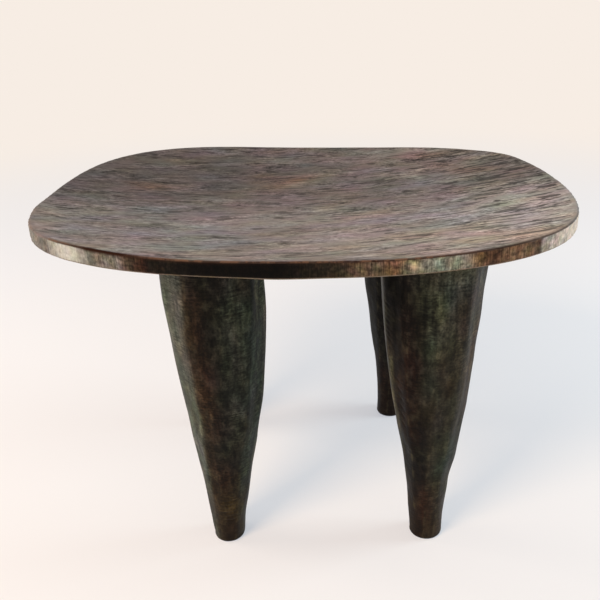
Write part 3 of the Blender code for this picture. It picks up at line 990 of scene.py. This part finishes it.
def grain_layers(tree, layers):
    """Noise stretched along the grain: layers by size in millimetres along X, Y and Z, with a slow drift."""
    place = add(tree, PLACE)["Object"]
    slow = add(tree, MAPPING, {"Vector": place, "Scale": [1000 / mm for mm in DRIFT_SIZE]})[0]
    drift = add(tree, NOISE, {"Vector": slow, "Scale": 1.0, "Detail": 2.0})["Color"]
    bent = add(tree, VECTOR, {0: drift, 1: DRIFT, 2: place}, operation="MULTIPLY_ADD")[0]
    found = {}
    for name, size, detail in layers:
        scale = [1000 / mm for mm in size]
        stretched = add(tree, MAPPING, {"Vector": bent, "Scale": scale})[0]
        noise = add(tree, NOISE, {"Vector": stretched, "Scale": 1.0, "Detail": detail, "Roughness": 0.6})
        found[name] = noise["Color" if name in COLOURED_LAYERS else "Fac"]
    return found


def painted(tree, output, *names):
    """What is stored on the points of a mesh, by name."""
    return {name: add(tree, "ShaderNodeAttribute", attribute_name=name)[output] for name in names}


def mottle(tree, base, share, depths):
    """Darkens and lightens a colour by noises, each between a low and a high, as far as share says."""
    for noise, low, high in depths:
        change = add(tree, RANGE, {0: noise, 1: 0.3, 2: 0.7, 3: low, 4: high})[0]
        base = add(tree, MIX, {0: share, 6: base, 7: change}, **MULTIPLY)[2]
    return base


def tinge(tree, base, share, noise, reach, low):
    """Shifts a colour by coloured noise, as far as share says."""
    change = add(tree, VECTOR, {0: noise, 1: reach, 2: low}, operation="MULTIPLY_ADD")[0]
    return add(tree, MIX, {0: share, 6: base, 7: change}, **MULTIPLY)[2]


def coat(tree, base, coats):
    """Lays colours over a base, each as far as its share says."""
    for share, rgb in coats:
        base = add(tree, MIX, {0: share, 6: base, 7: (*rgb, 1)}, **LAY_OVER)[2]
    return base


def dress(tree, shader, base, rough, relief, strength, depth):
    """Gives a shader its colour, its roughness and its fine relief."""
    bump = add(tree, BUMP, {"Height": relief, "Strength": strength, "Distance": depth})[0]
    for key, socket in (("Base Color", base), ("Roughness", rough), ("Normal", bump)):
        tree.links.new(socket, shader.inputs[key])


def seat_wood(finish):
    """Dark hardwood, adzed along the grain and waxed by use: streaked fibres, open pores and a dull sheen."""
    material, tree, shader = new_finish("waxed_adzed_hardwood")
    layers = grain_layers(tree, SEAT_LAYERS)
    shares = painted(tree, "Fac", "rim", "arris", "crest", "low_arris", "pit", "under", "streaks", "torn")
    tones = painted(tree, "Color", "rim_tone", "stain")
    tone = -0.075
    for name, share in (("fibre", 0.45), ("grit", 0.2), ("bands", 0.25), ("clouds", 0.25)):
        tone = add(tree, MATH, {0: layers[name], 1: share, 2: tone}, operation="MULTIPLY_ADD")[0]
    streaks = add(tree, RANGE, {0: layers["worn"], 1: 0.35, 2: 0.65, 3: 0.25, 4: 1.4})[0]
    streaks = add(tree, MATH, {0: streaks, 1: shares["streaks"]}, operation="MULTIPLY")[0]
    tone = add(tree, MATH, {0: tone, 1: 0.5}, operation="SUBTRACT")[0]
    tone = add(tree, MATH, {0: tone, 1: streaks, 2: 0.5}, operation="MULTIPLY_ADD")[0]
    # The body and pale tones hold painted sheen as well as the wood's own colour
    stops = ((0.31, finish.top_dark), (0.5, finish.top_body_and_sheen), (0.69, finish.top_pale_and_sheen))
    top = add(tree, RAMP, {0: tone}, stops)[0]
    top = tinge(tree, top, 1.0, layers["tinge"], (0.56, 0.3, 0.56), (0.72, 0.85, 0.72))
    # The stain tints carry the top's painted sheen, shade and reflection as well as its stains
    top = add(tree, MIX, {0: 1.0, 6: top, 7: tones["stain"]}, **MULTIPLY)[2]

    depths = ((layers["cuts"], 0.45, 1.55), (layers["blots"], 0.55, 1.45), (layers["grit"], 0.5, 1.5))
    side = mottle(tree, tones["rim_tone"], shares["streaks"], depths)
    side = tinge(tree, side, shares["streaks"], layers["flecks"], (0.5, 0.34, 0.5), (0.75, 0.83, 0.75))
    base = add(tree, MIX, {0: shares["rim"], 6: top, 7: side}, **LAY_OVER)[2]

    pores = add(tree, RANGE, {0: layers["pores"], 1: 0.595, 2: 0.62, 3: 0.0, 4: 0.85})[0]
    pores = add(tree, MATH, {0: pores, 1: shares["torn"]}, operation="MULTIPLY")[0]
    checks = add(tree, RANGE, {0: layers["checks"], 1: 0.64, 2: 0.67, 3: 0.0, 4: 0.8})[0]
    where = add(tree, RANGE, {0: shares["torn"], 1: TORN_LEAST, 2: 1.0})[0]
    checks = add(tree, MATH, {0: checks, 1: where}, operation="MULTIPLY")[0]
    for deep in (checks, shares["pit"]):
        pores = add(tree, MATH, {0: pores, 1: deep}, operation="MAXIMUM")[0]
    bare = add(tree, RANGE, {0: layers["chips"], 1: 0.46, 2: 0.55})[0]
    bare = add(tree, MATH, {0: shares["crest"], 1: bare}, operation="MULTIPLY")[0]
    # Painted highlight along the lower arris, broken up by the chips
    low_highlight = add(tree, RANGE, {0: layers["chips"], 1: 0.42, 2: 0.58, 3: 1.0, 4: 0.25})[0]
    low_highlight = add(tree, MATH, {0: shares["low_arris"], 1: low_highlight}, operation="MULTIPLY")[0]
    base = coat(tree, base, (
        (pores, finish.pore), (shares["arris"], finish.wear_dark), (bare, finish.wear),
        (low_highlight, finish.low_edge_highlight), (shares["under"], finish.leg_body),
    ))
    rough = add(tree, RANGE, {0: layers["fibre"], 1: 0.3, 2: 0.7, 3: 0.52, 4: 0.34})[0]
    rough = add(tree, RANGE, {0: shares["arris"], 3: rough, 4: 0.95})[0]
    relief = add(tree, MATH, {0: layers["pores"], 1: -0.7, 2: layers["fibre"]}, operation="MULTIPLY_ADD")[0]
    dress(tree, shader, base, rough, relief, 0.55, 0.0005)
    shader.inputs["IOR"].default_value = 1.16  # old wax and dust reflect less than a varnish
    return material


def leg_wood(finish):
    """The same hardwood, near black with handling and oil: soft upright bands, mottling and a dull gloss."""
    material, tree, shader = new_finish("oiled_dark_hardwood")
    layers = grain_layers(tree, LEG_LAYERS)
    shares = painted(tree, "Fac", "edge", "foot", "mottled")
    base = painted(tree, "Color", "tone")["tone"]
    depths = ((layers["bands"], 0.4, 1.6), (layers["mottle"], 0.4, 1.6), (layers["grit"], 0.5, 1.45))
    base = mottle(tree, base, shares["mottled"], depths)
    # Grey dust, and painted sheen for the legs' soft highlights, added over the mottling
    dust_and_sheen = add(tree, RANGE, {0: layers["mottle"], 1: 0.48, 2: 0.78})[0]
    base = add(tree, MIX, {0: dust_and_sheen, 6: base, 7: (*finish.leg_dust_and_sheen, 1)}, **LAY_OVER, blend_type="ADD")[2]
    base = tinge(tree, base, 1.0, layers["tinge"], (0.46, 0.33, 0.42), (0.765, 0.885, 0.735))
    red = add(tree, MATH, {0: layers["mottle"], 1: shares["foot"]}, operation="MULTIPLY")[0]
    base = coat(tree, base, ((red, finish.leg_red),))
    lines = add(tree, RANGE, {0: layers["fibre"], 1: 0.34, 2: 0.66, 3: 1.9, 4: 0.2})[0]
    where = add(tree, RANGE, {0: layers["patches"], 1: 0.45, 2: 0.62, 3: 0.05, 4: 0.7})[0]
    base = add(tree, MIX, {0: where, 6: base, 7: lines}, **MULTIPLY)[2]
    bare = add(tree, MATH, {0: shares["edge"], 1: layers["mottle"]}, operation="MULTIPLY")[0]
    bare = add(tree, RANGE, {0: bare, 1: 0.45, 2: 0.75, 3: 0.0, 4: 0.3})[0]
    base = coat(tree, base, ((bare, finish.leg_bare),))
    rough = add(tree, RANGE, {0: layers["mottle"], 1: 0.3, 2: 0.7, 3: 0.38, 4: 0.6})[0]
    relief = add(tree, MATH, {0: layers["fibre"], 1: -0.5, 2: layers["mottle"]}, operation="MULTIPLY_ADD")[0]
    dress(tree, shader, base, rough, relief, 0.6, 0.0008)
    shader.inputs["IOR"].default_value = 1.17  # old oil and dust reflect less than a varnish
    return material


def wedge_wood(finish):
    """Bare split hardwood: straight fibres and no polish."""
    material, tree, shader = new_finish("bare_split_hardwood")
    layers = grain_layers(tree, (("fibre", (1.2, 1.2, 20), 3.0),))
    dark = [c * 0.55 for c in finish.wedge]
    base = add(tree, RAMP, {0: layers["fibre"]}, stops=((0.35, dark), (0.65, finish.wedge)))[0]
    bump = add(tree, BUMP, {"Height": layers["fibre"], "Strength": 0.5, "Distance": 0.0004})[0]
    tree.links.new(base, shader.inputs["Base Color"])
    tree.links.new(bump, shader.inputs["Normal"])
    shader.inputs["Roughness"].default_value = 0.7
    return material


def seen_ray(tree):
    """1 for a ray that shows the backdrop, straight, in gloss or through glass, and 0 for one that lights."""
    rays = add(tree, "ShaderNodeLightPath")
    seen = rays["Is Camera Ray"]
    for name in ("Is Glossy Ray", "Is Transmission Ray"):
        seen = add(tree, MATH, {0: seen, 1: rays[name]}, operation="MAXIMUM")[0]
    return seen


class STOOL_OT_stage(bpy.types.Operator):
    """Lay the floor and set up the camera and the light"""

    bl_idname = "stool.stage"
    bl_label = "Stage"

    def execute(self, context):
        scene = context.scene
        stage = scene.stool_stage
        scene.view_settings.view_transform = "Standard"

        lens = bpy.data.cameras.new("camera")
        lens.lens = stage.lens
        lens.sensor_width = 36.0
        camera = bpy.data.objects.new("camera", lens)
        camera.location = stage.camera_place
        camera.rotation_euler = stage.camera_turn
        scene.collection.objects.link(camera)
        scene.camera = camera

        reach = stage.floor_reach
        corners = [(-reach, -reach, 0), (reach, -reach, 0), (reach, reach, 0), (-reach, reach, 0)]
        floor = add_piece("floor", new_mesh("floor", corners, [(0, 1, 2, 3)]))
        material, tree, shader = new_finish("matt_pale_floor")
        shader.inputs["Base Color"].default_value = (*stage.floor, 1)
        shader.inputs["Roughness"].default_value = 0.8
        place = add(tree, PLACE)["Object"]
        away = add(tree, VECTOR, {0: place}, operation="LENGTH")["Value"]
        near, wide = FLOOR_GLOW_RANGE
        far = add(tree, RANGE, {0: away, 1: near, 2: wide}, interpolation_type="SMOOTHSTEP")[0]
        part = add(tree, RANGE, {0: far, 3: FLOOR_GLOW[0], 4: FLOOR_GLOW[1]})[0]
        part = add(tree, MATH, {0: seen_ray(tree), 1: part}, operation="MULTIPLY")[0]
        glow = add(tree, MIX, {0: far, 6: (*stage.shade, 1), 7: (*stage.backdrop, 1)}, **LAY_OVER)[2]
        pale = add(tree, "ShaderNodeEmission", {"Color": glow, "Strength": 1.0})[0]
        mixed = add(tree, "ShaderNodeMixShader", {0: part, 1: shader.outputs[0], 2: pale})[0]
        tree.links.new(mixed, tree.nodes["Material Output"].inputs["Surface"])
        floor.data.materials.append(material)

        for name, place, size, power, warmth in LAMPS:
            light = bpy.data.lights.new(name, "AREA")
            light.shape = "SQUARE"
            light.size = size
            light.energy = power
            light.color = warmth
            lamp = bpy.data.objects.new(name, light)
            lamp.location = place
            lamp.rotation_euler = (Vector(LAMP_AIM) - Vector(place)).to_track_quat("-Z", "Y").to_euler()
            scene.collection.objects.link(lamp)

        world = bpy.data.worlds.new("soft_room")
        world.use_nodes = True
        tree = world.node_tree
        light = add(tree, "ShaderNodeBackground", {"Color": ROOM_COLOUR, "Strength": ROOM_STRENGTH})[0]
        pale = add(tree, "ShaderNodeBackground", {"Color": (*stage.backdrop, 1), "Strength": 1.0})[0]
        mixed = add(tree, "ShaderNodeMixShader", {0: seen_ray(tree), 1: light, 2: pale})[0]
        tree.links.new(mixed, tree.nodes["World Output"].inputs["Surface"])
        scene.world = world
        return {"FINISHED"}


class STOOL_OT_seat(bpy.types.Operator):
    """Carve the dished seat and its sockets"""

    bl_idname = "stool.seat"
    bl_label = "Seat"

    def execute(self, context):
        scene = context.scene
        seat, legs = scene.stool_seat, scene.stool_legs
        piece = add_piece("carved_seat", seat_mesh(seat))
        cut(piece, [socket_cutter(seat, legs, leg) for leg in LEGS.values()])

        place, normal = points_of(piece.data)
        off_leg = np.min([np.hypot(*(place[:, :2] - leg_top(leg)).T) for leg in LEGS.values()], axis=0)
        below = normal[:, 2] < -0.2
        clear = smooth_step(*(legs.shoulder_diameter / 2 + away for away in UNDER_FADE), off_leg)
        edge = 1 - EDGE_SMOOTHING * smooth_step(*EDGE_FADE, rim_share(seat, place[:, 0], place[:, 1]))
        mesh = carve(piece, np.where(below, clear, 1.0) * edge, {
            "Mark Size": seat.mark_size, "Mark Depth": seat.mark_depth,
            "Fibre Size": SEAT_FIBRE, "Fibre Depth": seat.fibre_depth,
            "Seed": SEAT_SEED, "Wood": seat_wood(scene.stool_finish),
        })

        place, normal = points_of(mesh)
        out = rim_share(seat, place[:, 0], place[:, 1])
        upright = 1 - np.abs(normal[:, 2])
        depth = seat_top(seat, place[:, 0], place[:, 1]) - place[:, 2]
        at_rim = smooth_step(*RIM_BAND, out)
        paint(mesh, "rim", at_rim * smooth_step(0.45, 0.85, upright))
        angle = rim_angle(seat, place[:, 0], place[:, 1])
        stops, *lines = zip(*CREST_LINE)
        dark, wide = (np.interp(angle, stops, values) for values in lines)
        worn = sum(np.exp(-(turned_by(angle, middle) / around) ** 4) for middle, around in CREST_WEAR)
        paint(mesh, "arris", at_rim * dark * np.exp(-((depth - CREST_LINE_DEPTH) / wide) ** 4))
        line = np.exp(-((depth - CREST_WEAR_DEPTH) / CREST_WEAR_HALF) ** 2)
        paint(mesh, "crest", at_rim * np.minimum(worn, CREST_WEAR_MOST) * line)
        # Painted highlight on the lower arris
        lowest = seat.rim_thickness + swell(angle, RIM_FULL)
        paint(mesh, "low_arris", at_rim * np.exp(-((depth - lowest + LOW_HIGHLIGHT_RISE) / LOW_HIGHLIGHT_HALF) ** 2))
        paint(mesh, "under", smooth_step(0.3, 0.7, -normal[:, 2]) * smooth_step(1.0, 0.97, out))
        # Rim colours, with painted shade in the black of the front
        paint(mesh, "rim_tone", blend(angle, RIM_TONES_AND_SHADE))
        # Stains of the top, with its painted sheen, shade and reflection
        paint(mesh, "stain", stain_and_sheen_tints(place))
        # The streaks are weaker in front, as part of the painted sheen
        streaks = BACK_STREAKS + (FRONT_STREAKS - BACK_STREAKS) * front_sheen(place)
        paint(mesh, "streaks", np.where(at_rim > 0.5, 1 - swell(angle, RIM_CALM), streaks))
        torn = TORN_LEAST + (1 - TORN_LEAST) * smooth_step(*TORN_RANGE, place[:, 0])
        paint(mesh, "torn", torn * (1 - at_rim))
        paint(mesh, "pit", pit_depths(place) / PIT_DARK * (normal[:, 2] > 0.5))
        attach(piece, "root")
        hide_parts("seat")
        return {"FINISHED"}


class STOOL_OT_legs(bpy.types.Operator):
    """Carve the four legs and their wedged tenons"""

    bl_idname = "stool.legs"
    bl_label = "Legs"

    def execute(self, context):
        scene = context.scene
        seat, legs = scene.stool_seat, scene.stool_legs
        wood = leg_wood(scene.stool_finish)
        for number, (node, leg) in enumerate(LEGS.items()):
            piece = add_piece(f"carved_{node}", leg_mesh(seat, legs, leg, node))
            cut(piece, [kerf_cutter(seat, legs, leg)])
            place, _ = points_of(piece.data)
            gap = seat_underside(seat, place[:, 0], place[:, 1]) - place[:, 2]
            keep = smooth_step(*SOLE_FADE, place[:, 2]) * smooth_step(*SHOULDER_FADE, gap)
            mesh = carve(piece, keep, {
                "Mark Size": legs.mark_size, "Mark Depth": legs.mark_depth,
                "Fibre Size": LEG_FIBRE, "Fibre Depth": legs.fibre_depth,
                "Seed": LEG_SEED + LEG_SEED_STEP * number, "Wood": wood,
            })
            place, _ = points_of(mesh)
            tone, edge, mottled = leg_paint(seat, legs, leg, node, place)
            # The tone holds painted highlight and shade as well as the wood's colour
            paint(mesh, "tone", tone)
            paint(mesh, "mottled", mottled)
            paint(mesh, "edge", edge)
            paint(mesh, "foot", smooth_step(FOOT_RED, 0.0, place[:, 2]))
            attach(piece, "root")
            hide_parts(node)
        return {"FINISHED"}


class STOOL_OT_wedges(bpy.types.Operator):
    """Give the hidden wedges their bare wood"""

    bl_idname = "stool.wedges"
    bl_label = "Wedges"

    def execute(self, context):
        wood = wedge_wood(context.scene.stool_finish)
        for node in LEGS:
            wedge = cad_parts[node.replace("leg", "wedge", 1)]
            for slot in wedge.material_slots:
                slot.material = wood
        return {"FINISHED"}


OPERATORS = (STOOL_OT_stage, STOOL_OT_seat, STOOL_OT_legs, STOOL_OT_wedges)


class STOOL_PT_panel(bpy.types.Panel):
    """Lists the stool's sizes, colours and pieces"""

    bl_label = "Carved Stool"
    bl_idname = "STOOL_PT_panel"
    bl_space_type = "VIEW_3D"
    bl_region_type = "UI"
    bl_category = "Stool"

    def draw(self, context):
        for name, group in SETTINGS.items():
            box = self.layout.box()
            box.label(text=group.__doc__)
            for prop in group.__annotations__:
                box.prop(getattr(context.scene, name), prop)
        for operator in OPERATORS:
            self.layout.operator(operator.bl_idname)


CLASSES = (*SETTINGS.values(), *OPERATORS, STOOL_PT_panel)


def register():
    for cls in CLASSES:
        bpy.utils.register_class(cls)
    for name, group in SETTINGS.items():
        setattr(bpy.types.Scene, name, PointerProperty(type=group))


def unregister():
    for name in SETTINGS:
        delattr(bpy.types.Scene, name)
    for cls in reversed(CLASSES):
        bpy.utils.unregister_class(cls)


def main():
    register()
    bpy.ops.stool.stage()
    bpy.ops.stool.seat()
    bpy.ops.stool.legs()
    bpy.ops.stool.wedges()


if __name__ == "__main__":
    main()
